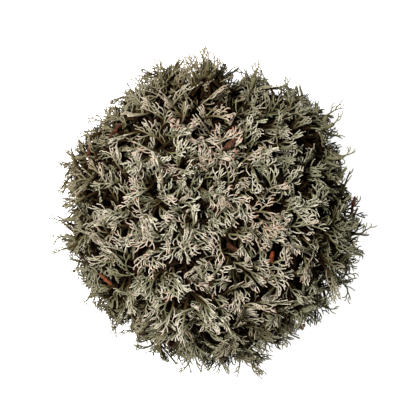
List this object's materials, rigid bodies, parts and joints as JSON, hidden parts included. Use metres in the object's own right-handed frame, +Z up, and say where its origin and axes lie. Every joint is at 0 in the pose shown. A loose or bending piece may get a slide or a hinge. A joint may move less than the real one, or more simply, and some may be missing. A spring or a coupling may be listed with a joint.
{
  "type": "reindeer lichen clump",
  "caption": "Low dome of pale grey-green reindeer lichen, finely forked tufts on a flat cut underside, with scraps of leaf and bark in it.",
  "frame": {"origin": "on the surface that the clump rests on, under the middle of its bounding box", "axes": "+Z up, out of the ground; the picture looks straight down, with +X to its right and +Y to its top"},
  "size_m": [0.1046, 0.1084, 0.0599],
  "materials": {
    "lichen": "matt, dry and slightly powdery, pale grey-green stems with cream tips",
    "bark": "dry red-brown bark",
    "dead_leaf": "dry brown leaf, faintly glossy"
  },
  "bodies": {
    "root": {"tuft_01": "lichen", "tuft_02": "lichen", "tuft_03": "lichen", "tuft_04": "lichen", "tuft_05": "lichen", "tuft_06": "lichen", "tuft_07": "lichen", "tuft_08": "lichen", "tuft_09": "lichen", "tuft_10": "lichen", "tuft_11": "lichen", "tuft_12": "lichen", "tuft_13": "lichen", "tuft_14": "lichen", "tuft_15": "lichen", "tuft_16": "lichen", "tuft_17": "lichen", "tuft_18": "lichen", "tuft_19": "lichen", "tuft_20": "lichen", "tuft_21": "lichen", "tuft_22": "lichen", "tuft_23": "lichen", "tuft_24": "lichen", "tuft_25": "lichen", "tuft_26": "lichen", "tuft_27": "lichen", "tuft_28": "lichen", "tuft_29": "lichen", "tuft_30": "lichen", "tuft_31": "lichen", "tuft_32": "lichen", "tuft_33": "lichen", "tuft_34": "lichen", "tuft_35": "lichen", "tuft_36": "lichen", "tuft_37": "lichen", "tuft_38": "lichen", "tuft_39": "lichen", "tuft_40": "lichen", "tuft_41": "lichen", "tuft_42": "lichen", "tuft_43": "lichen", "tuft_44": "lichen", "tuft_45": "lichen", "tuft_46": "lichen", "tuft_47": "lichen", "tuft_48": "lichen", "tuft_49": "lichen", "tuft_50": "lichen", "bark_strip_1": "bark", "bark_strip_2": "bark", "bark_strip_3": "bark", "bark_flake_1": "bark", "bark_flake_2": "bark", "twig_1": "bark", "leaf_scrap_1": "dead_leaf", "leaf_scrap_2": "dead_leaf", "leaf_scrap_3": "dead_leaf"}
  },
  "joints": []
}
